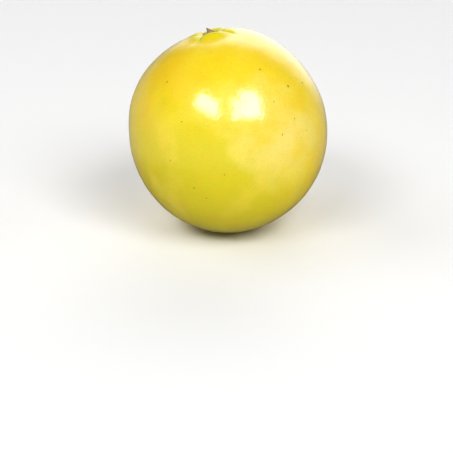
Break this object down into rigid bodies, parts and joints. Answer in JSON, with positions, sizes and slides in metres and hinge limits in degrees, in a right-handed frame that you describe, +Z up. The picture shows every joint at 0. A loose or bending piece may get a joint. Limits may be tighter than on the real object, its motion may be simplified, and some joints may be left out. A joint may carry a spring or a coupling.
{
  "type": "sweet lime",
  "caption": "Whole yellow sweet lime with a smooth rind, a furrowed stem end and a dry calyx, lying on a small flat spot.",
  "frame": {"origin": "centre of the bottom of the whole lime's box, on the surface that it rests on", "axes": "+Z up; the stem end leans about 11 degrees from +Z, towards -X and slightly towards +Y"},
  "size_m": [0.0682, 0.0682, 0.0708],
  "materials": {
    "rind": "smooth waxy citrus rind, golden yellow with greener patches",
    "calyx": "dry and woody, matt"
  },
  "bodies": {
    "root": {"fruit": "rind", "calyx": "calyx"}
  },
  "joints": []
}
